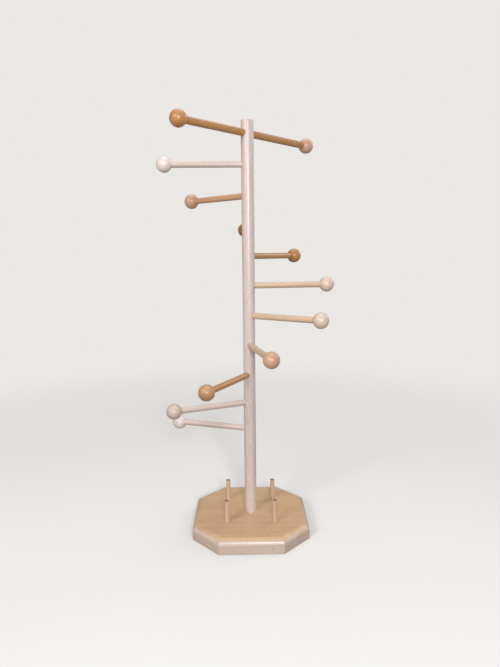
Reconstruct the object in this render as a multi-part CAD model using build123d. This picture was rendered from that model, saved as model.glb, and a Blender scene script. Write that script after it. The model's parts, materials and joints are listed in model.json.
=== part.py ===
from build123d import *
import math
import os

# A jewellery tree glued up from dowel, drilled balls and one board.
#
# Lengths are in millimetres and angles in degrees. The origin is the point of the
# table on the post's axis, +Z runs up the post and the viewer stands at -Y. An
# azimuth is measured from +X, counter-clockwise as seen from above.

# ---- base board: a square board with its corners cut off ----
base_width = 155.0          # along X
base_depth = 155.0          # along Y
base_thickness = 20.0
corner_cut = 36.0           # taken off each side at each corner
edge_round = 9.0            # round on the top edge
foot_arris = 0.8            # bevel on the bottom edge
seat_floor = 6.0            # wood left under every seat in the board

# ---- post ----
post_diameter = 16.0
post_height = 520.0         # above the board
post_arris = 1.0            # bevel on both ends
post_wall = 3.5             # wood left behind an arm's socket

# ---- top bar, a dowel through the post ----
bar_diameter = 9.0
bar_drop = 16.0             # from the post's top down to the bar's axis
bar_azimuth = 40.5
bar_tilt = 1.2              # its right-hand end is the lower one
bar_shift = 2.5             # its middle is past the post's axis, to the right

# ---- side arms, dowels in blind sockets ----
arm_diameter = 8.0
arm_reach = 105.0           # from the middle of the arm's place to a ball's centre
highest_arm_drop = 53.5     # from the post's top down to the highest side arm's axis
lowest_arm_height = 120.0   # from the board up to the lowest one's
# The side arms step down the post as a spiral, a little uneven because the post was
# marked and turned by hand between one hole and the next. The first is the highest.
arm_azimuths = (181.5, 138.5, 92.5, 50.5, 7.0, -34.5, -76.5, -119.0, -157.5, -198.0)
# How far each of them stands above the even steps.
arm_rises = (0.2, 0.0, 0.0, 0.8, 1.4, 0.2, -0.5, -2.1, -2.0, -0.7)
dowel_arris = 0.6           # bevel on both ends of the bar and the arms

# ---- ball knobs: balls with a small flat faced round the hole ----
knob_diameter = 20.0
knob_shoulder = 0.4         # the flat's width round the dowel
knob_wall = 5.5             # wood left behind the socket

# ---- ring pegs ----
peg_diameter = 6.0
peg_height = 30.0           # above the board
peg_arris = 0.5             # bevel on both ends
peg_square = 64.0           # side of the square that the pegs stand on

# ---- countersunk screw, up through the board into the post ----
screw_length = 40.0
screw_diameter = 4.0
screw_head_diameter = 8.0
screw_head_rim = 0.4        # upright edge of the head
screw_point = 5.0           # length of the pointed end
screw_sink = 0.5            # head's face below the board's underside
cross_depth = 1.4           # cross recess in the head
cross_width = 0.9

# ---- fits and tools ----
glue_gap = 0.05             # round a glued dowel, on the radius
end_gap = 0.5               # between a dowel's end and the bottom of its socket
screw_clearance = 0.25      # round the screw in the board, on the radius
head_gap = 0.1              # round the screw's head, on the radius
drill_tip_angle = 118.0
overrun = 2.0               # how far a cutting tool starts outside the wood

# ---- worked out from the sizes above ----
post_radius = post_diameter / 2
knob_radius = knob_diameter / 2
screw_radius = screw_diameter / 2
screw_head_radius = screw_head_diameter / 2
post_top = base_thickness + post_height
highest_arm_level = post_top - highest_arm_drop
lowest_arm_level = base_thickness + lowest_arm_height
arm_pitch = (highest_arm_level - lowest_arm_level) / (len(arm_azimuths) - 1)
bar_hole_diameter = bar_diameter + 2 * glue_gap
arm_hole_diameter = arm_diameter + 2 * glue_gap


def tip_length(diameter):
    """Length of the cone that a drill leaves at the bottom of its hole."""
    return diameter / 2 / math.tan(math.radians(drill_tip_angle / 2))


def knob_flat_offset(hole_diameter):
    """Distance from a ball's centre to the flat round its hole."""
    flat_radius = hole_diameter / 2 - glue_gap + knob_shoulder
    return math.sqrt(knob_radius**2 - flat_radius**2)


def outer_end(hole_diameter):
    """Where a dowel ends inside its ball, from the middle of its place."""
    socket_end = knob_radius - knob_wall - tip_length(hole_diameter)
    return arm_reach + socket_end - end_gap


post_socket_depth = post_diameter - post_wall - tip_length(arm_hole_diameter)
arm_inner_end = post_radius - post_socket_depth + end_gap


def turned(section):
    """Turn a half section of (radius, height) points about Z."""
    face = make_face(Polyline(*section, close=True))
    return revolve(Plane.XZ * face, axis=Axis.Z)


def dowel(diameter, start, end, arris):
    """A round rod along Z between two heights, with bevelled ends."""
    radius = diameter / 2
    return turned(
        [
            (0, start),
            (radius - arris, start),
            (radius, start + arris),
            (radius, end - arris),
            (radius - arris, end),
            (0, end),
        ]
    )


def bored(diameter, start, end):
    """The space of a flat-bottomed hole along Z between two heights."""
    place = Pos(0, 0, (start + end) / 2)
    return place * Cylinder(diameter / 2, end - start)


def drilled_socket(diameter, depth):
    """The space of a drilled blind hole, from its mouth at the origin down -Z."""
    radius = diameter / 2
    return turned(
        [
            (0, overrun),
            (radius, overrun),
            (radius, -depth),
            (0, -depth - tip_length(diameter)),
        ]
    )


def out_of_post(level, azimuth, tilt=0.0):
    """The place on the post's axis whose +Z runs out along an arm, tilted down."""
    return Pos(0, 0, level) * Rot(0, 0, azimuth) * Rot(0, 90 + tilt, 0)


def bar_place():
    """The place at the top bar's middle whose +Z runs to its right-hand end."""
    return out_of_post(post_top - bar_drop, bar_azimuth, bar_tilt) * Pos(0, 0, bar_shift)


def arm_places():
    """Each side arm's number, counted down from the top bar, and its place."""
    places = {}
    for step, (azimuth, rise) in enumerate(zip(arm_azimuths, arm_rises)):
        level = highest_arm_level - step * arm_pitch + rise
        places[step + 2] = out_of_post(level, azimuth)
    return places


def peg_places():
    """Each ring peg's name and its (x, y) on the board."""
    half = peg_square / 2
    return {
        "front_left": (-half, -half),
        "front_right": (half, -half),
        "back_left": (-half, half),
        "back_right": (half, half),
    }


def post_screw():
    """The countersunk screw, its head's face down and its point up."""
    head_top = screw_head_rim + screw_head_radius - screw_radius
    screw = turned(
        [
            (0, 0),
            (screw_head_radius, 0),
            (screw_head_radius, screw_head_rim),
            (screw_radius, head_top),
            (screw_radius, screw_length - screw_point),
            (0, screw_length),
        ]
    )
    for turn in (0, 90):
        slot = Box(screw_diameter, cross_width, 2 * cross_depth)
        screw -= Rot(0, 0, turn) * slot
    return Pos(0, 0, screw_sink) * screw


def screw_hole():
    """The board's clearance hole with its countersink, from the underside."""
    hole_radius = screw_radius + screw_clearance
    mouth_radius = screw_head_radius + head_gap
    rim_top = screw_sink + screw_head_rim
    return turned(
        [
            (0, -overrun),
            (mouth_radius, -overrun),
            (mouth_radius, rim_top),
            (hole_radius, rim_top + mouth_radius - hole_radius),
            (hole_radius, seat_floor + overrun),
            (0, seat_floor + overrun),
        ]
    )


def base_board():
    """The board with its rounded edge and the seats of the post and the pegs."""
    outline = chamfer(Rectangle(base_width, base_depth).vertices(), length=corner_cut)
    board = extrude(outline, base_thickness)
    board = fillet(board.edges().group_by(Axis.Z)[-1], radius=edge_round)
    board = chamfer(board.edges().group_by(Axis.Z)[0], length=foot_arris)

    seat_depth = base_thickness - seat_floor
    post_seat_diameter = post_diameter + 2 * glue_gap
    board -= bored(post_seat_diameter, seat_floor, base_thickness + overrun)
    board -= screw_hole()
    peg_socket = drilled_socket(
        peg_diameter + 2 * glue_gap, seat_depth - tip_length(peg_diameter)
    )
    for x, y in peg_places().values():
        board -= Pos(x, y, base_thickness) * peg_socket
    return board


def post():
    """The post with the bar's through hole, the arms' sockets and the screw's pilot."""
    rod = dowel(post_diameter, seat_floor, post_top, post_arris)
    rod -= bar_place() * bored(bar_hole_diameter, -post_diameter, post_diameter)
    socket = Pos(0, 0, post_radius) * drilled_socket(arm_hole_diameter, post_socket_depth)
    for place in arm_places().values():
        rod -= place * socket
    pilot_end = screw_sink + screw_length + end_gap
    rod -= bored(screw_diameter + 2 * glue_gap, seat_floor - overrun, pilot_end)
    return rod


def knob(hole_diameter):
    """A ball at the end of an arm's place, faced and drilled towards the post."""
    flat_offset = knob_flat_offset(hole_diameter)
    depth = flat_offset + knob_radius - knob_wall - tip_length(hole_diameter)
    ball = Sphere(knob_radius)
    facing = Box(knob_diameter, knob_diameter, knob_diameter)
    ball -= Pos(0, 0, -flat_offset - knob_radius) * facing
    socket = Rot(180, 0, 0) * drilled_socket(hole_diameter, depth)
    ball -= Pos(0, 0, -flat_offset) * socket
    return Pos(0, 0, arm_reach) * ball


def ring_peg(x, y):
    """A peg standing in its socket in the board."""
    tip = tip_length(peg_diameter)
    foot = seat_floor + tip + end_gap
    return Pos(x, y, 0) * dowel(peg_diameter, foot, base_thickness + peg_height, peg_arris)


def model():
    """Every piece in its place, by name."""
    pieces = {"base_board": base_board(), "post": post(), "post_screw": post_screw()}

    bar_end = outer_end(bar_hole_diameter)
    pieces["top_bar"] = bar_place() * dowel(bar_diameter, -bar_end, bar_end, dowel_arris)
    pieces["knob_top_right"] = bar_place() * knob(bar_hole_diameter)
    pieces["knob_top_left"] = bar_place() * Rot(180, 0, 0) * knob(bar_hole_diameter)

    arm_end = outer_end(arm_hole_diameter)
    arm = dowel(arm_diameter, arm_inner_end, arm_end, dowel_arris)
    for number, place in arm_places().items():
        pieces[f"arm_{number:02d}"] = place * arm
        pieces[f"knob_{number:02d}"] = place * knob(arm_hole_diameter)

    for corner, (x, y) in peg_places().items():
        pieces[f"ring_peg_{corner}"] = ring_peg(x, y)
    return pieces


os.makedirs("parts", exist_ok=True)
for name, piece in model().items():
    piece.label = name
    export_step(piece, f"parts/{name}.step")
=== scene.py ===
"""The jewellery tree, dressed for its picture.

It is glued up from beech dowel, drilled beech balls and one beech board, and finished
with a satin varnish. Each piece is modelled in a millimetre frame of its own and then
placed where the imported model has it.
"""

import json
import logging
import math
import random
from dataclasses import dataclass, field
from enum import Enum

import bmesh
import bpy
from mathutils import Color, Euler, Matrix, Vector


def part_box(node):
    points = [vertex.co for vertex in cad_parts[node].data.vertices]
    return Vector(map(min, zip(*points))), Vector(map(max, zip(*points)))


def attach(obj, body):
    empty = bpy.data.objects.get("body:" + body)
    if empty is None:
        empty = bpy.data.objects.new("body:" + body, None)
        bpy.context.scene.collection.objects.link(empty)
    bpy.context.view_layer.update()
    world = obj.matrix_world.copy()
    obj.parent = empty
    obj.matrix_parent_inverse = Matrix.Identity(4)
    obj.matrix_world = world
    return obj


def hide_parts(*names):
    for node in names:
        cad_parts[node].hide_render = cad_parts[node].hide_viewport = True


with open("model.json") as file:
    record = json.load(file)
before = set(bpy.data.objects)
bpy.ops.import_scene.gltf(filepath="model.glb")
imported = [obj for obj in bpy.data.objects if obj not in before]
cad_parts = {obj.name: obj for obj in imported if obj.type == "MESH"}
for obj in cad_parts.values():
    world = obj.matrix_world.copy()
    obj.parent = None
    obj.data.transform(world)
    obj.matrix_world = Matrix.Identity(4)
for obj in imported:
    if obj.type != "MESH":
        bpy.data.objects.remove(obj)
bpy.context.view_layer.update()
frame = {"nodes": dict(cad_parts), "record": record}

log = logging.getLogger("jewellery_tree")

Shape = bmesh.types.BMesh
Nodes = bpy.types.NodeTree
Socket = bpy.types.NodeSocket

MM = 0.001  # metres in a millimetre
DRILL_TIP_ANGLE = 118.0  # of a twist drill, in degrees
SHARP_ANGLE = math.radians(32)  # edges that turn more than this are crisp
LEVEL = 0.001  # heights closer than this are the same, in mm
BIT_ARRIS = 0.01  # on the end of a boring bit, in mm, as good as sharp
EASED_STEPS = 3  # facets across a rod's eased end
QUARTER_ROUND = 0.5  # profile of a bevel that follows a circle
SAME_MATERIAL = -1  # a bevel's faces take their neighbours' material
LOG_LENGTH = 2.0  # of log that pieces are cut from, in metres
LOG_STRETCHES = 1000  # how many stretches of log there are to pick from
# Sockets of the Mix node, whose sockets share their names between data types.
MIX_FACTOR, MIX_A, MIX_B, MIX_RESULT = 0, 6, 7, 2


# ---- node helpers ----


def linear(hex_colour: str) -> tuple[float, float, float, float]:
    """Turns six hex digits of sRGB into linear red, green, blue and an alpha of 1."""
    channels = [int(hex_colour[start:start + 2], 16) / 255 for start in (0, 2, 4)]
    return (*Color(channels).from_srgb_to_scene_linear(), 1.0)


def cleared_tree(owner: bpy.types.Material | bpy.types.World) -> Nodes:
    """Gives a material or a world an empty node tree.

    Args:
        owner: the material or world.

    Returns:
        Its node tree.
    """
    owner.use_nodes = True
    owner.node_tree.nodes.clear()
    return owner.node_tree


def add_node(
    tree: Nodes, kind: str, inputs: dict[str | int, object] | None = None, **settings: object
) -> bpy.types.Node:
    """Adds one node with its settings, values and links.

    Args:
        tree: the node tree that gets the node.
        kind: the node's type after "ShaderNode", such as "Math".
        inputs: a value or an output socket for each input, by name or number.
        **settings: the node's own properties.

    Returns:
        The new node.
    """
    node = tree.nodes.new(f"ShaderNode{kind}")
    for name, value in settings.items():
        setattr(node, name, value)
    for key, value in (inputs or {}).items():
        if isinstance(value, Socket):
            tree.links.new(value, node.inputs[key])
        else:
            node.inputs[key].default_value = value
    return node


def calc(tree: Nodes, operation: str, *values: Socket | float) -> Socket:
    """Adds a sum with numbers, such as "MULTIPLY", and gives its result."""
    node = add_node(tree, "Math", dict(enumerate(values)), operation=operation)
    return node.outputs[0]


def calc_vector(
    tree: Nodes, operation: str, *values: Socket | Vector | tuple[float, float, float]
) -> Socket:
    """Adds a sum with vectors and gives its result, which may be a number."""
    node = add_node(tree, "VectorMath", dict(enumerate(values)), operation=operation)
    return node.outputs["Value" if operation in ("LENGTH", "DOT_PRODUCT") else "Vector"]


def remap(
    tree: Nodes, value: Socket,
    source: tuple[float, float] = (0.0, 1.0), target: tuple[float, float] = (0.0, 1.0),
    smooth: bool = False,
) -> Socket:
    """Maps one range to another and clamps what lies outside it.

    Args:
        tree: the node tree.
        value: the number to map.
        source: the range that it comes from.
        target: the range that it goes to.
        smooth: whether both ends are eased.

    Returns:
        The mapped number.
    """
    node = add_node(
        tree, "MapRange",
        {
            "Value": value, "From Min": source[0], "From Max": source[1],
            "To Min": target[0], "To Max": target[1],
        },
        interpolation_type="SMOOTHSTEP" if smooth else "LINEAR",
    )
    return node.outputs[0]


def mix_colours(
    tree: Nodes, amount: Socket, under: Socket | tuple[float, ...], over: tuple[float, ...],
    blend: str = "MIX",
) -> Socket:
    """Lays one colour over another.

    Args:
        tree: the node tree.
        amount: how much of the upper colour shows, 0 to 1.
        under: the lower colour.
        over: the upper colour.
        blend: how the two blend.

    Returns:
        The mixed colour.
    """
    node = add_node(
        tree, "Mix", {MIX_FACTOR: amount, MIX_A: under, MIX_B: over},
        data_type="RGBA", blend_type=blend,
    )
    return node.outputs[MIX_RESULT]


# ---- shape helpers ----


def place_along(origin: Vector, direction: Vector) -> Matrix:
    """The place, in metres, of a millimetre frame whose +Z runs along a direction."""
    turn = direction.to_track_quat("Z", "Y").to_matrix().to_4x4()
    return Matrix.Translation(origin) @ turn @ Matrix.Scale(MM, 4)


def middle_of(node: str) -> Vector:
    """The middle of a node's box, in metres."""
    low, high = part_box(node)
    return (low + high) / 2


def tip_length(diameter: float) -> float:
    """Length of the cone that a twist drill leaves at the bottom of its hole."""
    return diameter / 2 / math.tan(math.radians(DRILL_TIP_ANGLE / 2))


def rise(edge: bmesh.types.BMEdge) -> float:
    """How much higher one end of an edge is than the other."""
    return abs(edge.verts[0].co.z - edge.verts[1].co.z)


def only(kind: type, parts: list[object]) -> list[object]:
    """The parts of an operator's result that are of one kind."""
    return [part for part in parts if isinstance(part, kind)]


def round_edges(shape: Shape, edges: list[bmesh.types.BMEdge], size: float, steps: int) -> None:
    """Rounds edges, or cuts them off straight where there is one step.

    Args:
        shape: the mesh that the edges belong to.
        edges: the edges.
        size: how far they are taken back, in mm.
        steps: facets across each round.
    """
    bmesh.ops.bevel(
        shape, geom=edges, offset=size, affect="EDGES", segments=steps,
        profile=QUARTER_ROUND, material=SAME_MATERIAL,
    )


def cylinder(diameter: float, start: float, end: float, facets: int) -> Shape:
    """A plain cylinder along Z.

    Args:
        diameter: its diameter, in mm.
        start: the height of its lower end, in mm.
        end: the height of its upper end, in mm.
        facets: facets round it.

    Returns:
        The cylinder's mesh, in mm.
    """
    shape = bmesh.new()
    bmesh.ops.create_cone(
        shape, cap_ends=True, cap_tris=False, segments=facets,
        radius1=diameter / 2, radius2=diameter / 2, depth=end - start,
    )
    bmesh.ops.translate(shape, verts=shape.verts, vec=(0, 0, (start + end) / 2))
    return shape


def round_rod(
    diameter: float, start: float, end: float, arris: float, facets: int, rings: int = 0
) -> Shape:
    """A round rod along Z with eased ends.

    Args:
        diameter: the rod's diameter, in mm.
        start: the height of its lower end, in mm.
        end: the height of its upper end, in mm.
        arris: how far the sanding has taken each end's edge back, in mm.
        facets: facets round the rod.
        rings: loops of edges along it.

    Returns:
        The rod's mesh, in mm.
    """
    rod = cylinder(diameter, start, end, facets)
    if rings:
        upright = [e for e in rod.edges if rise(e) > arris]
        bmesh.ops.subdivide_edges(rod, edges=upright, cuts=rings, use_grid_fill=True)
    # Only the two ends are faces with more than four corners.
    rims = [e for e in rod.edges if any(len(f.verts) > 4 for f in e.link_faces)]
    round_edges(rod, rims, arris, EASED_STEPS)
    return rod


def drill_bit(diameter: float, mouth: float, bottom: float, facets: int) -> Shape:
    """The space that a twist drill clears along Z, its point beyond the bottom.

    Args:
        diameter: the hole's diameter, in mm.
        mouth: the height where the bit starts, in mm.
        bottom: the height where the hole's wall ends, in mm.
        facets: facets round the hole.

    Returns:
        The bit's mesh, in mm.
    """
    bit = cylinder(diameter, min(mouth, bottom), max(mouth, bottom), facets)
    inward = 1 if bottom > mouth else -1
    end = max(bit.faces, key=lambda f: f.normal.z * inward)
    point = bmesh.ops.poke(bit, faces=[end])["verts"]
    bmesh.ops.translate(bit, verts=point, vec=(0, 0, inward * tip_length(diameter)))
    return bit


def merge_into(whole: Shape, part: Shape, place: Matrix) -> None:
    """Adds a placed copy of one mesh to another and frees the first.

    Args:
        whole: the mesh that grows.
        part: the mesh that is added.
        place: where it goes.
    """
    bmesh.ops.transform(part, matrix=place, verts=part.verts)
    loose = bpy.data.meshes.new("loose")
    part.to_mesh(loose)
    part.free()
    whole.from_mesh(loose)
    bpy.data.meshes.remove(loose)


def as_mesh(shape: Shape) -> bpy.types.Mesh:
    """Turns an edited mesh into stored mesh data and frees it.

    Args:
        shape: the edited mesh.

    Returns:
        The mesh data.
    """
    mesh = bpy.data.meshes.new("shape")
    shape.to_mesh(mesh)
    shape.free()
    return mesh


def in_scene(name: str, data: bpy.types.ID) -> bpy.types.Object:
    """Makes an object of its data and puts it in the scene.

    Args:
        name: the object's name.
        data: its mesh, lamp or camera data.

    Returns:
        The object.
    """
    thing = bpy.data.objects.new(name, data)
    bpy.context.scene.collection.objects.link(thing)
    return thing


def bored_out(wood: Shape, bits: Shape) -> bpy.types.Mesh:
    """Cuts the bits' space out of the wood.

    Args:
        wood: the piece before boring, in mm.
        bits: everything that the drills clear, in mm.

    Returns:
        The bored piece, in mm.
    """
    blank = in_scene("wood", as_mesh(wood))
    cutter = in_scene("bits", as_mesh(bits))
    boring = blank.modifiers.new("boring", "BOOLEAN")
    boring.operation = "DIFFERENCE"
    boring.solver = "EXACT"
    boring.object = cutter
    bpy.context.view_layer.update()
    depsgraph = bpy.context.evaluated_depsgraph_get()
    bored = bpy.data.meshes.new_from_object(blank.evaluated_get(depsgraph))
    for used in (blank, cutter):
        mesh = used.data
        bpy.data.objects.remove(used)
        bpy.data.meshes.remove(mesh)
    return bored


def seat_piece(
    node: str, mesh: bpy.types.Mesh, place: Matrix, material: bpy.types.Material
) -> bpy.types.Object:
    """Puts a finished piece in its place, in the stead of its node.

    Args:
        node: the node that the piece stands for.
        mesh: the piece in its own frame, in mm.
        place: the matrix from that frame to the row frame.
        material: its finish.

    Returns:
        The piece.
    """
    mesh.transform(place)
    mesh.shade_smooth()
    mesh.set_sharp_from_angle(angle=SHARP_ANGLE)
    mesh.materials.clear()
    mesh.materials.append(material)
    mesh.name = f"{node}_wood"
    piece = in_scene(f"{node}_wood", mesh)
    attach(piece, "root")
    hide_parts(node)
    log.info("%s: %d faces", piece.name, len(mesh.polygons))
    return piece


def keep_broad_faces_flat(piece: bpy.types.Object) -> None:
    """Lets a bored piece's broad faces rule its shading, so that holes leave no dents."""
    weighting = piece.modifiers.new("broad_faces_first", "WEIGHTED_NORMAL")
    weighting.keep_sharp = True


# ---- finishes ----


@dataclass(frozen=True)
class Grain:
    """How a piece lies in the log it was cut from."""

    pith: Vector  # a point on the log's pith, in metres
    turn: Euler  # of a frame with +Z along the grain and +X from the pith to the piece
    along: Vector  # the grain's direction

    @classmethod
    def cut_from_log(
        cls, centre: Vector, along: Vector, towards_pith: Vector, distance: float, seed: int
    ) -> "Grain":
        """The grain of a piece cut at some distance from the pith.

        Args:
            centre: the piece's middle, in metres.
            along: the direction of its grain.
            towards_pith: roughly where the pith lies from the piece.
            distance: how far the pith is from the piece's middle, in mm.
            seed: picks the stretch of the log, so that no two pieces look alike.

        Returns:
            The grain.
        """
        axis = along.normalized()
        outward = -(towards_pith - axis * towards_pith.dot(axis)).normalized()
        side = axis.cross(outward)
        turn = Matrix((outward, side, axis)).transposed()
        stretch = random.Random(seed).uniform(0.0, LOG_LENGTH)
        pith = centre - outward * distance * MM - axis * stretch
        return cls(pith, turn.to_euler(), axis)


@dataclass(frozen=True)
class Streaks:
    """One kind of soft streak along the grain."""

    width: float  # a streak's size across the grain, in mm
    length: float  # and along it
    detail: float  # how much finer streaks join in
    band: tuple[float, float] = (0.3, 0.7)  # of the noise, which rarely leaves it

    def noise(self, tree: Nodes, place: Socket) -> bpy.types.Node:
        """Noise that is stretched to the streaks' size.

        Args:
            tree: the material's nodes.
            place: millimetres in the log's frame.

        Returns:
            The noise node.
        """
        stretch = (1 / self.width, 1 / self.width, 1 / self.length)
        stretched = calc_vector(tree, "MULTIPLY", place, stretch)
        return add_node(tree, "TexNoise", {"Vector": stretched, "Scale": 1.0, "Detail": self.detail})

    def drawn(self, tree: Nodes, place: Socket) -> Socket:
        """How much streak there is at a place in the log's frame, 0 to 1."""
        return remap(tree, self.noise(tree, place).outputs["Fac"], self.band)


@dataclass(frozen=True)
class VarnishedBeech:
    """Beech under a satin clear varnish, sanded fine before it was varnished.

    The eye gets a nearly even pale tan from it, with faint year rings, short brown
    ray flecks on the faces that follow the rings, browner end grain, and a soft
    highlight from the varnish. Strengths run from 0 to 1 and sizes are in mm.
    """

    early: str  # colour of the early wood
    late: str  # of the late wood that ends each year ring
    fleck: str  # of the rays
    end: str  # of the end grain, which soaks up varnish
    year: float = 3.2  # width of a year ring
    year_strength: float = 0.4
    fleck_strength: float = 0.4
    mottle_strength: float = 0.12  # of the short soft blotches
    end_strength: float = 0.6  # how much browner squarely cut end grain is
    top_shade_tint: str | None = None  # painted shade: a warm tint multiplied over faces that look up, for the warmer, dimmer light on a level top

    # Real sizes of beech's figure. Rays are drawn about twice as wide as they
    # are, and pores about five times, because finer ones are lost in the picture.
    ray_gap: float = 1.5
    ray_depth: float = 9.0
    ray_height: float = 5.0
    log_radius: float = 60.0
    fibres: Streaks = Streaks(0.9, 40.0, 3.0)
    blotches: Streaks = Streaks(2.4, 8.0, 1.0)
    pores: Streaks = Streaks(0.4, 2.4, 1.0)
    clouds: Streaks = Streaks(14.0, 75.0, 2.0)
    wander: Streaks = Streaks(55.0, 160.0, 1.0)
    wander_reach: float = 2.4

    # How strongly the parts show that every lot of beech has alike.
    cloud_strength: float = 0.35
    fibre_strength: float = 0.16
    pore_strength: float = 0.3

    # Where things begin and end: the late wood in its year (higher is later), a ray from
    # the middle of its cell, a pore in its streak, and, as cosines, end grain and the painted shade on
    # level tops.
    late_power: float = 3.0
    ray_lens: tuple[float, float] = (0.12, 0.4)
    pore_start: float = 0.78
    end_start: float = 0.6
    top_shade_start: float = 0.45

    # The surface: relief in mm, roughness of the wood off and on the fibres, and the coat.
    relief: float = 0.05
    relief_strength: float = 0.25
    pore_relief: float = -0.6
    roughness: tuple[float, float] = (0.42, 0.55)
    coat: float = 0.6
    coat_roughness: float = 0.25
    refraction: float = 1.5

    def material(self, name: str, grain: Grain) -> bpy.types.Material:
        """Makes the finish for one piece.

        Args:
            name: the material's name.
            grain: how the piece lies in its log.

        Returns:
            The material.
        """
        material = bpy.data.materials.new(name)
        tree = cleared_tree(material)
        place = self._log_coordinates(tree, grain)
        years, rays = self._figure_of_the_log(tree, place)
        fibres = self.fibres.drawn(tree, place)
        pores = self.pores.drawn(tree, place)
        end_grain = self._facing(tree, grain.along, self.end_start, both_ways=True)
        layers = (
            (self.clouds.drawn(tree, place), self.cloud_strength, self.late),
            (years, self.year_strength, self.late),
            (fibres, self.fibre_strength, self.fleck),
            (self.blotches.drawn(tree, place), self.mottle_strength, self.fleck),
            (rays, self.fleck_strength, self.fleck),
            (end_grain, self.end_strength, self.end),
        )
        colour = self._colour(tree, layers, pores)
        self._varnish(tree, colour, fibres, pores)
        return material

    def _log_coordinates(self, tree: Nodes, grain: Grain) -> Socket:
        """Millimetres in the log's frame, with the grain's slow wander added.

        Args:
            tree: the material's nodes.
            grain: how the piece lies in its log.

        Returns:
            The coordinates.
        """
        straight = add_node(
            tree, "Mapping",
            {
                "Vector": add_node(tree, "TexCoord").outputs["Object"],
                "Location": grain.pith, "Rotation": grain.turn, "Scale": (MM, MM, MM),
            },
            vector_type="TEXTURE",
        ).outputs["Vector"]
        noise = self.wander.noise(tree, straight).outputs["Color"]
        centred = calc_vector(tree, "SUBTRACT", noise, (0.5, 0.5, 0.5))
        both_ways = self.wander_reach * 2
        wander = calc_vector(tree, "MULTIPLY", centred, (both_ways, both_ways, 0.0))
        return calc_vector(tree, "ADD", straight, wander)

    def _figure_of_the_log(self, tree: Nodes, place: Socket) -> tuple[Socket, Socket]:
        """Year rings round the pith and the rays that run out from it.

        Args:
            tree: the material's nodes.
            place: millimetres in the log's frame.

        Returns:
            How much late wood and how much ray there is at a point, each 0 to 1.
        """
        axes = add_node(tree, "SeparateXYZ", {0: place})
        across = calc_vector(tree, "MULTIPLY", place, (1.0, 1.0, 0.0))
        radius = calc_vector(tree, "LENGTH", across)
        angle = calc(tree, "ARCTAN2", axes.outputs["Y"], axes.outputs["X"])

        season = calc(tree, "FRACT", calc(tree, "DIVIDE", radius, self.year))
        late = calc(tree, "POWER", season, self.late_power)

        ray_place = add_node(
            tree, "CombineXYZ",
            {
                0: calc(tree, "MULTIPLY", angle, self.log_radius / self.ray_gap),
                1: calc(tree, "DIVIDE", radius, self.ray_depth),
                2: calc(tree, "DIVIDE", axes.outputs["Z"], self.ray_height),
            },
        )
        # Each cell of the rays' space holds one lens-shaped ray of its own darkness.
        cells = add_node(tree, "TexVoronoi", {"Vector": ray_place.outputs[0], "Scale": 1.0})
        lens = remap(tree, cells.outputs["Distance"], self.ray_lens, target=(1.0, 0.0), smooth=True)
        return late, calc(tree, "MULTIPLY", lens, cells.outputs["Color"])

    def _facing(self, tree: Nodes, direction: Vector, start: float, both_ways: bool) -> Socket:
        """How squarely a surface faces a direction.

        Args:
            tree: the material's nodes.
            direction: the direction, of length 1.
            start: the cosine at which it begins to count.
            both_ways: whether facing away counts as well.

        Returns:
            0 where it doesn't count to 1 where it faces squarely.
        """
        normal = add_node(tree, "TexCoord").outputs["Normal"]
        cosine = calc_vector(tree, "DOT_PRODUCT", normal, direction)
        if both_ways:
            cosine = calc(tree, "ABSOLUTE", cosine)
        return remap(tree, cosine, (start, 1.0), smooth=True)

    def _colour(
        self, tree: Nodes, layers: tuple[tuple[Socket, float, str], ...], pores: Socket
    ) -> Socket:
        """Lays the wood's colours over each other, with painted shade on level tops where a tint is
        given.

        Args:
            tree: the material's nodes.
            layers: where each layer is, how much it shows and its colour, bottom first.
            pores: the pores' streaks.

        Returns:
            The wood's colour.
        """
        colour = linear(self.early)
        for place, strength, hex_colour in layers:
            amount = calc(tree, "MULTIPLY", place, strength)
            colour = mix_colours(tree, amount, colour, linear(hex_colour))
        open_pores = remap(tree, pores, (self.pore_start, 1.0), target=(0.0, self.pore_strength))
        colour = mix_colours(tree, open_pores, colour, linear(self.end))
        if self.top_shade_tint is None:
            return colour
        # Painted shade: faces that look up are multiplied by a warm tint, for the warmer, dimmer light
        # that a level top gets.
        painted_top_shade = self._facing(tree, Vector((0, 0, 1)), self.top_shade_start, both_ways=False)
        return mix_colours(tree, painted_top_shade, colour, linear(self.top_shade_tint), blend="MULTIPLY")

    def _varnish(self, tree: Nodes, colour: Socket, fibres: Socket, pores: Socket) -> None:
        """The wood's surface under its coat of satin varnish.

        Args:
            tree: the material's nodes.
            colour: the wood's colour.
            fibres: the fibres' streaks, which stand a little proud.
            pores: the pores' streaks, which stay a little open.
        """
        relief = calc(tree, "MULTIPLY_ADD", pores, self.pore_relief, fibres)
        bump = add_node(
            tree, "Bump",
            {"Height": relief, "Strength": self.relief_strength, "Distance": self.relief * MM},
        )
        surface = add_node(
            tree, "BsdfPrincipled",
            {
                "Base Color": colour, "Normal": bump.outputs[0],
                "Roughness": remap(tree, fibres, target=self.roughness),
                "IOR": self.refraction, "Coat IOR": self.refraction,
                "Coat Weight": self.coat, "Coat Roughness": self.coat_roughness,
            },
        )
        add_node(tree, "OutputMaterial", {"Surface": surface.outputs[0]})


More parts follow.
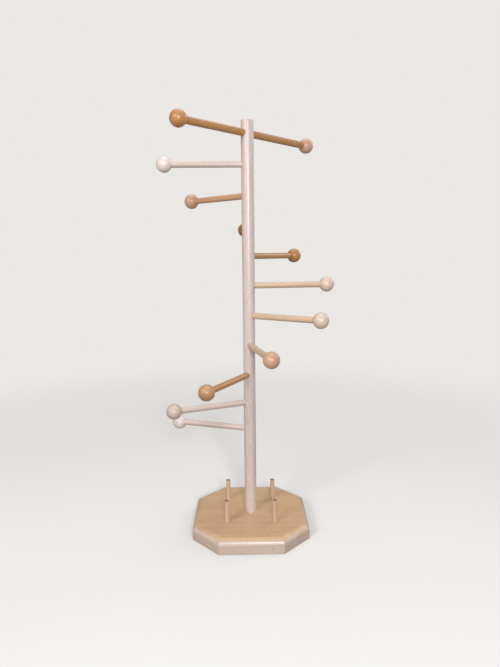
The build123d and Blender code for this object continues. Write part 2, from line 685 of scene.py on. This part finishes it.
@dataclass(frozen=True)
class ZincPlate:
    """Dull zinc plate on a steel wood screw, rolled and tumbled.

    The eye gets a soft grey metal with faint turning marks and small stains.
    """

    bright: str = "C9C8C2"  # colour where the plating is clean
    dull: str = "8F8E88"  # and where it has dulled
    mark: float = 0.5  # spacing of the tumbling marks, in mm
    mark_detail: float = 4.0  # how much finer marks join in
    roughness: tuple[float, float] = (0.3, 0.5)  # of the bright plating and of the dull

    def material(self, name: str) -> bpy.types.Material:
        """Makes the finish.

        Args:
            name: the material's name.

        Returns:
            The material.
        """
        material = bpy.data.materials.new(name)
        tree = cleared_tree(material)
        marks = add_node(
            tree, "TexNoise",
            {
                "Vector": add_node(tree, "TexCoord").outputs["Object"],
                "Scale": 1 / (self.mark * MM), "Detail": self.mark_detail,
            },
        ).outputs["Fac"]
        surface = add_node(
            tree, "BsdfPrincipled",
            {
                "Base Color": mix_colours(tree, marks, linear(self.bright), linear(self.dull)),
                "Metallic": 1.0, "Roughness": remap(tree, marks, target=self.roughness),
            },
        )
        add_node(tree, "OutputMaterial", {"Surface": surface.outputs[0]})
        return material


class Wood(Enum):
    """The lots of beech that the tree was made from, which took the varnish differently."""

    # The board's top gets painted shade: a warm tint multiplied over its upward faces.
    BOARD = VarnishedBeech(
        "E3D0C0", "D2B49E", "B58E72", "C29C7E", year=8.0, year_strength=0.5,
        fleck_strength=0.45, top_shade_tint="F6E0BA",
    )
    POST = VarnishedBeech("E5D6CF", "D2BCB1", "B8957F", "B89676", year=4.0, mottle_strength=0.22)
    PALE_ARM = VarnishedBeech("DECEC4", "CFB8A6", "B5937A", "B08C6E")
    PEACH_ARM = VarnishedBeech("E0C4A6", "D0AC88", "B88C65", "AC825E")
    SALMON_ARM = VarnishedBeech("D7A97E", "C79265", "AA774C", "9E6D47")
    TAN_ARM = VarnishedBeech("C79053", "B57A3D", "955C2C", "875629")
    WHITE_BALL = VarnishedBeech(
        "F1E6DE", "E6D5CA", "D8C3B3", "DAC6B7", year=2.4, fleck_strength=0.15,
        mottle_strength=0.06, end_strength=0.2,
    )
    PALE_BALL = VarnishedBeech(
        "DCC9BD", "CDB3A1", "B4947D", "B2927C", year=2.4, fleck_strength=0.25, end_strength=0.3
    )
    CREAM_BALL = VarnishedBeech(
        "E6D3C1", "D8BBA2", "C09D7E", "BE9B7C", year=2.4, fleck_strength=0.25, end_strength=0.3
    )
    BLUSH_BALL = VarnishedBeech(
        "D8AF8F", "C89573", "AE7754", "AA7654", year=2.4, fleck_strength=0.3, end_strength=0.3
    )
    TAN_BALL = VarnishedBeech(
        "C99D72", "B88556", "98653A", "94633A", year=2.4, fleck_strength=0.3, end_strength=0.3
    )
    AMBER_BALL = VarnishedBeech(
        "CC8F55", "BA7A3E", "985A27", "925827", year=2.4, fleck_strength=0.3, end_strength=0.3
    )
    PEG = VarnishedBeech("DFBEA5", "CFA78C", "B48A6C", "7F5330", year=2.0, end_strength=0.9)


# ---- the tree's pieces ----


@dataclass
class Fits:
    """Clearances that the glued joints share, in mm."""

    glue_gap: float = 0.05
    end_gap: float = 0.5
    overrun: float = 2.0


@dataclass
class BaseBoard:
    """The octagonal board that the tree stands on.

    Its sizes are in mm. The square board's corners are cut off, its top edge is rounded
    with a router and its bottom edge just eased.
    """

    corner_cut: float = 36.0
    edge_round: float = 9.0
    foot_arris: float = 0.8
    seat_floor: float = 6.0
    peg_diameter: float = 6.0
    post_diameter: float = 16.0
    screw_hole_diameter: float = 4.5
    countersink_diameter: float = 8.2
    countersink_rim: float = 0.9
    pith_below: float = 78.0
    fits: Fits = field(default_factory=Fits)

    round_steps: int = 10
    arris_steps: int = 2
    seat_facets: int = 64
    peg_socket_facets: int = 40
    screw_hole_facets: int = 48
    # The grain climbs a little to the right, and the pith lies a little to the back.
    grain_climb: float = 0.012
    pith_lean: float = 0.35
    log_seed: int = 4

    def blank(self) -> Shape:
        """The board before it is bored.

        Returns:
            The board's mesh, in mm.
        """
        low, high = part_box("base_board")
        size = (high - low) / MM
        board = bmesh.new()
        bmesh.ops.create_cube(board, size=1.0)
        bmesh.ops.scale(board, vec=size, verts=board.verts)
        bmesh.ops.translate(board, vec=(0, 0, size.z / 2), verts=board.verts)
        uprights = [e for e in board.edges if rise(e) > LEVEL]
        round_edges(board, uprights, self.corner_cut, steps=1)
        for height, back, steps in (
            (size.z, self.edge_round, self.round_steps),
            (0.0, self.foot_arris, self.arris_steps),
        ):
            rim = [e for e in board.edges if all(abs(v.co.z - height) < LEVEL for v in e.verts)]
            round_edges(board, rim, back, steps)
        return board

    def bits(self, peg_feet: list[Vector]) -> Shape:
        """Everything that is bored out of the board from above.

        Args:
            peg_feet: where the pegs stand, in mm.

        Returns:
            The bits' space, in mm.
        """
        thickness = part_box("base_board")[1].z / MM
        gap = 2 * self.fits.glue_gap
        top = thickness + self.fits.overrun
        bits = bmesh.new()
        seat = round_rod(self.post_diameter + gap, self.seat_floor, top, BIT_ARRIS, self.seat_facets)
        merge_into(bits, seat, Matrix())
        peg_bottom = self.seat_floor + tip_length(self.peg_diameter)
        for foot in peg_feet:
            peg_bit = drill_bit(self.peg_diameter + gap, top, peg_bottom, self.peg_socket_facets)
            merge_into(bits, peg_bit, Matrix.Translation((foot.x, foot.y, 0)))
        return bits

    def countersink(self) -> Shape:
        """The screw's hole with its countersink, open to the underside.

        Returns:
            The hole's space, in mm.
        """
        wide = self.countersink_diameter / 2
        narrow = self.screw_hole_diameter / 2
        sink = bmesh.new()
        bmesh.ops.create_circle(sink, cap_ends=False, segments=self.screw_hole_facets, radius=wide)
        bmesh.ops.translate(sink, verts=sink.verts, vec=(0, 0, -self.fits.overrun))
        rim = list(sink.edges)
        bmesh.ops.contextual_create(sink, geom=rim)
        reached, was = -self.fits.overrun, wide
        for height, radius in (
            (self.countersink_rim, wide),
            (self.countersink_rim + wide - narrow, narrow),
            (self.seat_floor + self.fits.overrun, narrow),
        ):
            grown = bmesh.ops.extrude_edge_only(sink, edges=rim)["geom"]
            verts = only(bmesh.types.BMVert, grown)
            rim = only(bmesh.types.BMEdge, grown)
            bmesh.ops.translate(sink, verts=verts, vec=(0, 0, height - reached))
            bmesh.ops.scale(sink, verts=verts, vec=(radius / was, radius / was, 1))
            reached, was = height, radius
        bmesh.ops.contextual_create(sink, geom=rim)
        bmesh.ops.recalc_face_normals(sink, faces=sink.faces)
        return sink

    def dress(self, peg_feet: list[Vector]) -> None:
        """Makes the board and puts it in its place.

        Args:
            peg_feet: where the pegs stand, in mm.
        """
        bits = self.bits(peg_feet)
        merge_into(bits, self.countersink(), Matrix())
        mesh = bored_out(self.blank(), bits)
        # The board is flat sawn, its grain from left to right and its pith far below.
        grain = Grain.cut_from_log(
            middle_of("base_board"), Vector((1, 0, self.grain_climb)),
            Vector((0, self.pith_lean, -1)), self.pith_below, self.log_seed,
        )
        finish = Wood.BOARD.value.material("board_beech", grain)
        piece = seat_piece("base_board", mesh, Matrix.Scale(MM, 4), finish)
        keep_broad_faces_flat(piece)


@dataclass
class Arm:
    """One dowel arm with its ball, or one half of the top bar.

    Sizes are in mm. The frame's +Z runs out of the post along the arm.
    """

    place: Matrix
    dowel_diameter: float = 8.0
    dowel_arris: float = 0.6
    reach: float = 105.0
    post_diameter: float = 16.0
    post_wall: float = 3.5
    ball_diameter: float = 20.0
    ball_shoulder: float = 0.4
    ball_wall: float = 5.5
    ball_arris: float = 0.25
    fits: Fits = field(default_factory=Fits)

    dowel_facets: int = 56
    dowel_rings: int = 23
    socket_facets: int = 48
    ball_facets: tuple[int, int] = (72, 48)  # round and from pole to pole
    ball_arris_steps: int = 2
    facing_tolerance: float = 0.0001
    # How near to the pith and how far from it the wood was cut, in mm.
    dowel_pith: tuple[float, float] = (35, 75)
    ball_pith: tuple[float, float] = (18, 40)
    ball_lean: float = 0.45  # of a ball's grain off its hole

    @property
    def socket_diameter(self) -> float:
        """Diameter of the sockets in the post and in the ball."""
        return self.dowel_diameter + 2 * self.fits.glue_gap

    @property
    def flat_radius(self) -> float:
        """Radius of the flat that is faced on the ball."""
        return self.dowel_diameter / 2 + self.ball_shoulder

    @property
    def flat_offset(self) -> float:
        """Distance from the ball's centre to its flat."""
        return math.sqrt((self.ball_diameter / 2) ** 2 - self.flat_radius ** 2)

    @property
    def ball_socket_depth(self) -> float:
        """Depth of the ball's socket down to the drill's cone."""
        solid = self.ball_wall + tip_length(self.socket_diameter)
        return self.flat_offset + self.ball_diameter / 2 - solid

    @property
    def post_socket_bottom(self) -> float:
        """Where the wall of the post's socket ends, from the post's axis."""
        solid = self.post_wall + tip_length(self.socket_diameter)
        return solid - self.post_diameter / 2

    @property
    def outer_end(self) -> float:
        """Where the dowel ends inside the ball, from the post's axis."""
        return self.reach - self.flat_offset + self.ball_socket_depth - self.fits.end_gap

    @property
    def inner_end(self) -> float:
        """Where the dowel ends inside the post, from the post's axis."""
        return self.post_socket_bottom + self.fits.end_gap

    def direction(self) -> Vector:
        """Where the arm points."""
        return (self.place.to_3x3() @ Vector((0, 0, 1))).normalized()

    def at(self, distance: float) -> Vector:
        """A point on the arm's axis, in metres, that far from the post's axis in mm."""
        return self.place @ Vector((0, 0, distance))

    def post_bit(self) -> Shape:
        """What the drill clears in the post for this arm, in the arm's frame."""
        mouth = self.post_diameter / 2 + self.fits.overrun
        return drill_bit(self.socket_diameter, mouth, self.post_socket_bottom, self.socket_facets)

    def ball(self) -> Shape:
        """The ball, faced and drilled towards the post, in the arm's frame.

        Returns:
            The ball's mesh, in mm.
        """
        ball = bmesh.new()
        facets_round, facets_along = self.ball_facets
        bmesh.ops.create_uvsphere(
            ball, u_segments=facets_round, v_segments=facets_along, radius=self.ball_diameter / 2
        )
        faced = bmesh.ops.bisect_plane(
            ball, geom=[*ball.verts, *ball.edges, *ball.faces],
            plane_co=(0, 0, -self.flat_offset), plane_no=(0, 0, -1),
            clear_outer=True, dist=self.facing_tolerance,
        )
        rim = only(bmesh.types.BMEdge, faced["geom_cut"])
        bmesh.ops.contextual_create(ball, geom=rim)
        round_edges(ball, rim, self.ball_arris, self.ball_arris_steps)

        flat = min(ball.faces, key=lambda f: f.calc_center_median().z)
        flat_radius = max(v.co.xy.length for v in flat.verts)
        bmesh.ops.inset_region(ball, faces=[flat], thickness=flat_radius - self.socket_diameter / 2)
        bottom = bmesh.ops.extrude_face_region(ball, geom=[flat])["geom"]
        verts = only(bmesh.types.BMVert, bottom)
        faces = only(bmesh.types.BMFace, bottom)
        if flat.is_valid:
            bmesh.ops.delete(ball, geom=[flat], context="FACES_ONLY")
        bmesh.ops.translate(ball, verts=verts, vec=(0, 0, self.ball_socket_depth))
        point = bmesh.ops.poke(ball, faces=faces)["verts"]
        bmesh.ops.translate(ball, verts=point, vec=(0, 0, tip_length(self.socket_diameter)))
        bmesh.ops.recalc_face_normals(ball, faces=ball.faces)
        bmesh.ops.translate(ball, verts=ball.verts, vec=(0, 0, self.reach))
        return ball

    def dress_dowel(self, node: str, start: float, wood: Wood, slot: str) -> None:
        """Makes the arm's dowel.

        Args:
            node: the node that it stands for.
            start: where it starts, from the post's axis, in mm.
            wood: the lot that it was cut from.
            slot: the record's material slot; not used.
        """
        luck = random.Random(node)
        around = luck.uniform(0, 2 * math.pi)
        pith = self.place.to_3x3() @ Vector((math.cos(around), math.sin(around), 0))
        grain = Grain.cut_from_log(
            self.at((start + self.outer_end) / 2), self.direction(), pith,
            luck.uniform(*self.dowel_pith), luck.randrange(LOG_STRETCHES),
        )
        dowel = round_rod(
            self.dowel_diameter, start, self.outer_end, self.dowel_arris,
            self.dowel_facets, self.dowel_rings,
        )
        finish = wood.value.material(f"{node}_beech", grain)
        seat_piece(node, as_mesh(dowel), self.place, finish)

    def dress_ball(self, node: str, wood: Wood, slot: str) -> None:
        """Makes the arm's ball, whose grain lies as it came off the lathe.

        Args:
            node: the node that it stands for.
            wood: the lot that it was turned from.
            slot: the record's material slot; not used.
        """
        luck = random.Random(node)
        lean, pith = (Vector([luck.gauss(0, 1) for _ in range(3)]) for _ in range(2))
        grain = Grain.cut_from_log(
            self.at(self.reach), self.direction() + lean.normalized() * self.ball_lean, pith,
            luck.uniform(*self.ball_pith), luck.randrange(LOG_STRETCHES),
        )
        finish = wood.value.material(f"{node}_beech", grain)
        seat_piece(node, as_mesh(self.ball()), self.place, finish)


@dataclass
class Post:
    """The upright dowel with its sockets; sizes are in mm."""

    diameter: float = 16.0
    arris: float = 1.0
    screw_diameter: float = 4.0
    screw_tip: float = 40.5
    pith_behind: float = 62.0
    fits: Fits = field(default_factory=Fits)

    facets: int = 96
    rings: int = 120
    bar_hole_facets: int = 48
    pilot_facets: int = 32
    # The grain leans a little to the right, and so does the way to the pith.
    grain_lean: float = 0.004
    pith_lean: float = 0.35
    log_seed: int = 11

    def bits(self, arms: list[Arm], bar: Arm) -> Shape:
        """Everything that is bored out of the post.

        Args:
            arms: the side arms.
            bar: the right-hand half of the top bar.

        Returns:
            The bits' space, in mm.
        """
        to_mm = Matrix.Scale(1 / MM, 4)
        bits = bmesh.new()
        for arm in arms:
            merge_into(bits, arm.post_bit(), to_mm @ arm.place)
        through = round_rod(
            bar.socket_diameter, -self.diameter, self.diameter, BIT_ARRIS, self.bar_hole_facets
        )
        merge_into(bits, through, to_mm @ bar.place)
        pilot = round_rod(
            self.screw_diameter + 2 * self.fits.glue_gap,
            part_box("post")[0].z / MM - self.fits.overrun,
            self.screw_tip + self.fits.end_gap, BIT_ARRIS, self.pilot_facets,
        )
        merge_into(bits, pilot, Matrix())
        return bits

    def dress(self, arms: list[Arm], bar: Arm) -> None:
        """Makes the post, bored for the arms, the top bar and the screw.

        Args:
            arms: the side arms.
            bar: the right-hand half of the top bar.
        """
        low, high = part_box("post")
        rod = round_rod(self.diameter, low.z / MM, high.z / MM, self.arris, self.facets, self.rings)
        mesh = bored_out(rod, self.bits(arms, bar))
        grain = Grain.cut_from_log(
            middle_of("post"), Vector((self.grain_lean, 0, 1)),
            Vector((self.pith_lean, 1, 0)), self.pith_behind, self.log_seed,
        )
        finish = Wood.POST.value.material("post_beech", grain)
        piece = seat_piece("post", mesh, Matrix.Scale(MM, 4), finish)
        keep_broad_faces_flat(piece)


@dataclass
class RingPegs:
    """The four short pegs on the board; sizes are in mm."""

    diameter: float = 6.0
    arris: float = 0.5
    pith_beside: float = 40.0
    corners: tuple[str, ...] = ("front_left", "front_right", "back_left", "back_right")

    facets: int = 48
    rings: int = 9
    grain_lean: float = 0.01

    def feet(self) -> list[Vector]:
        """Where the pegs stand, in mm."""
        return [middle_of(f"ring_peg_{corner}") / MM for corner in self.corners]

    def dress(self) -> None:
        """Makes the pegs and puts them in their places."""
        for corner, foot in zip(self.corners, self.feet()):
            node = f"ring_peg_{corner}"
            low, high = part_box(node)
            luck = random.Random(node)
            rod = round_rod(self.diameter, low.z / MM, high.z / MM, self.arris, self.facets, self.rings)
            place = Matrix.Scale(MM, 4) @ Matrix.Translation((foot.x, foot.y, 0))
            pith = Vector((luck.uniform(-1, 1), luck.uniform(-1, 1), 0))
            grain = Grain.cut_from_log(
                middle_of(node), Vector((0, self.grain_lean, 1)), pith,
                self.pith_beside, luck.randrange(LOG_STRETCHES),
            )
            finish = Wood.PEG.value.material(f"{node}_beech", grain)
            seat_piece(node, as_mesh(rod), place, finish)


@dataclass
class JewelleryTree:
    """The whole tree, from the board up; sizes are in mm."""

    bar_diameter: float = 9.0
    side_woods: dict[int, tuple[Wood, Wood]] = field(
        default_factory=lambda: {
            2: (Wood.PALE_ARM, Wood.WHITE_BALL),
            3: (Wood.SALMON_ARM, Wood.BLUSH_BALL),
            4: (Wood.PEACH_ARM, Wood.AMBER_BALL),
            5: (Wood.TAN_ARM, Wood.AMBER_BALL),
            6: (Wood.PEACH_ARM, Wood.CREAM_BALL),
            7: (Wood.PEACH_ARM, Wood.CREAM_BALL),
            8: (Wood.PEACH_ARM, Wood.BLUSH_BALL),
            9: (Wood.TAN_ARM, Wood.TAN_BALL),
            10: (Wood.PALE_ARM, Wood.PALE_BALL),
            11: (Wood.PALE_ARM, Wood.WHITE_BALL),
        }
    )

    def arm(self, node: str) -> Arm:
        """The side arm whose dowel is that node, placed where the frame has it."""
        middle = middle_of(node)
        return Arm(place_along(Vector((0, 0, middle.z)), Vector((middle.x, middle.y, 0))))

    def bar_half(self, ball: str, other_ball: str) -> Arm:
        """The top bar's half that ends in one ball, placed where the frame has it.

        Args:
            ball: the node of the ball at this half's end.
            other_ball: the node of the ball at the other end.

        Returns:
            The half, whose frame starts at the bar's middle.
        """
        near, far = middle_of(ball), middle_of(other_ball)
        place = place_along((near + far) / 2, near - far)
        return Arm(place, dowel_diameter=self.bar_diameter)

    def dress(self) -> None:
        """Makes every piece of the tree."""
        right = self.bar_half("knob_top_right", "knob_top_left")
        left = self.bar_half("knob_top_left", "knob_top_right")
        arms = {number: self.arm(f"arm_{number:02d}") for number in self.side_woods}

        pegs = RingPegs()
        BaseBoard().dress(pegs.feet())
        pegs.dress()
        Post().dress(list(arms.values()), right)

        right.dress_dowel("top_bar", -right.outer_end, Wood.TAN_ARM, "steamed_beech")
        right.dress_ball("knob_top_right", Wood.BLUSH_BALL, "knob_steamed_beech")
        left.dress_ball("knob_top_left", Wood.AMBER_BALL, "knob_steamed_beech")

        slots = {s["node"]: s["material_slot"] for s in frame["record"]["subparts"]}
        for number, (dowel_wood, ball_wood) in self.side_woods.items():
            arm, dowel, ball = arms[number], f"arm_{number:02d}", f"knob_{number:02d}"
            arm.dress_dowel(dowel, arm.inner_end, dowel_wood, slots[dowel])
            arm.dress_ball(ball, ball_wood, slots[ball])

        screw = frame["nodes"]["post_screw"]
        screw.data.materials.clear()
        screw.data.materials.append(ZincPlate().material("screw_zinc_plate"))
        log.info("post_screw: zinc plate")


# ---- the studio ----


@dataclass
class Lamp:
    """A soft square lamp; its place is in metres and its power in watts."""

    name: str
    position: tuple[float, float, float]
    size: float
    power: float
    colour: str = "FFFFFF"

    def hang(self, aim: tuple[float, float, float]) -> None:
        """Hangs the lamp and turns it to its aim.

        Args:
            aim: the point that it lights, in metres.
        """
        light = bpy.data.lights.new(self.name, "AREA")
        light.shape = "SQUARE"
        light.size = self.size
        light.energy = self.power
        light.color = linear(self.colour)[:3]
        lamp = in_scene(self.name, light)
        lamp.location = self.position
        towards = Vector(aim) - Vector(self.position)
        lamp.rotation_euler = towards.to_track_quat("-Z", "Y").to_euler()


@dataclass
class Studio:
    """A pale floor without a horizon, soft lamps and the camera.

    The camera's place and lens come from fitting the ball centres, the post and the
    board's corners as the photograph shows them, in its 500 by 667 frame. Lengths are
    in metres and angles in degrees, unless a name says otherwise.
    """

    pale: str = "EAE8E4"
    floor_tone: str = "E6E4E0"
    bounce: str = "8A8884"
    ambient: str = "F4F6FA"
    ambient_strength: float = 0.36
    floor_radius: float = 4.0
    floor_facets: int = 96
    paper_roughness: float = 0.5
    shadow_reach: float = 0.32
    fade_end: float = 1.15
    lamps_aim: tuple[float, float, float] = (0.0, 0.0, 0.27)
    frame_height_px: float = 667.0
    focal_px: float = 514.94
    camera_mm: tuple[float, float, float] = (-4.58, -675.97, 375.38)
    yaw: float = 0.491
    pitch: float = 8.841
    roll: float = -0.532
    sensor_mm: float = 36.0
    nearest: float = 0.01
    farthest: float = 50.0

    def lay_floor(self) -> None:
        """Lays the floor, which fades into the backdrop's tone away from the tree."""
        disc = bmesh.new()
        bmesh.ops.create_circle(
            disc, cap_ends=True, segments=self.floor_facets, radius=self.floor_radius
        )
        floor = in_scene("studio_floor", as_mesh(disc))

        material = bpy.data.materials.new("studio_paper")
        tree = cleared_tree(material)
        place = add_node(tree, "TexCoord").outputs["Object"]
        distance = calc_vector(tree, "LENGTH", place)
        fade = remap(tree, distance, (self.shadow_reach, self.fade_end), smooth=True)
        seen = add_node(tree, "LightPath").outputs
        direct = calc(tree, "MAXIMUM", seen["Is Camera Ray"], seen["Is Glossy Ray"])
        # The paper throws little light back up, so that undersides keep their shade.
        tone = mix_colours(tree, seen["Is Camera Ray"], linear(self.bounce), linear(self.floor_tone))
        paper = add_node(tree, "BsdfDiffuse", {"Color": tone, "Roughness": self.paper_roughness})
        backdrop = add_node(tree, "Emission", {"Color": linear(self.pale), "Strength": 1.0})
        faded = calc(tree, "MULTIPLY", fade, direct)
        mixed = add_node(tree, "MixShader", {0: faded, 1: paper.outputs[0], 2: backdrop.outputs[0]})
        add_node(tree, "OutputMaterial", {"Surface": mixed.outputs[0]})
        floor.data.materials.append(material)

    def fill_air(self) -> None:
        """Lights the air softly and shows the backdrop's tone behind the tree."""
        world = bpy.data.worlds.new("studio_air")
        bpy.context.scene.world = world
        tree = cleared_tree(world)
        seen = add_node(tree, "LightPath").outputs
        direct = calc(tree, "MAXIMUM", seen["Is Camera Ray"], seen["Is Transmission Ray"])
        air = add_node(
            tree, "Background", {"Color": linear(self.ambient), "Strength": self.ambient_strength}
        )
        backdrop = add_node(tree, "Background", {"Color": linear(self.pale), "Strength": 1.0})
        mixed = add_node(tree, "MixShader", {0: direct, 1: air.outputs[0], 2: backdrop.outputs[0]})
        add_node(tree, "OutputWorld", {"Surface": mixed.outputs[0]})

    def hang_lamps(self) -> None:
        """Hangs a main lamp front left, one by the camera, one overhead and one behind."""
        for lamp in (
            Lamp("main_lamp", (-0.95, -1.25, 1.05), size=0.6, power=10.5, colour="FFFBF6"),
            Lamp("camera_lamp", (0.14, -1.3, 0.62), size=0.24, power=10.0, colour="F6F8FF"),
            Lamp("top_lamp", (0.1, 0.3, 1.7), size=1.2, power=7.5),
            Lamp("back_lamp", (1.5, 0.9, 1.1), size=1.0, power=7.0),
        ):
            lamp.hang(self.lamps_aim)

    def set_camera(self) -> None:
        """Sets the camera where the photograph was taken from."""
        lens = bpy.data.cameras.new("camera")
        lens.sensor_width = self.sensor_mm
        lens.lens = self.sensor_mm * self.focal_px / self.frame_height_px
        lens.clip_start = self.nearest
        lens.clip_end = self.farthest
        camera = in_scene("camera", lens)
        turn = (
            Matrix.Rotation(math.radians(-self.yaw), 4, "Z")
            @ Matrix.Rotation(math.radians(90 - self.pitch), 4, "X")
            @ Matrix.Rotation(math.radians(self.roll), 4, "Z")
        )
        camera.matrix_world = Matrix.Translation(Vector(self.camera_mm) * MM) @ turn
        bpy.context.scene.camera = camera

    def build(self) -> None:
        """Builds the whole studio."""
        self.lay_floor()
        self.fill_air()
        self.hang_lamps()
        self.set_camera()
        bpy.context.scene.view_settings.view_transform = "Standard"
        log.info("studio: floor, lamps and camera")


def main() -> None:
    """Dresses the tree and builds the studio round it."""
    logging.basicConfig(level=logging.INFO, format="%(name)s: %(message)s")
    JewelleryTree().dress()
    Studio().build()


if __name__ == "__main__":
    main()
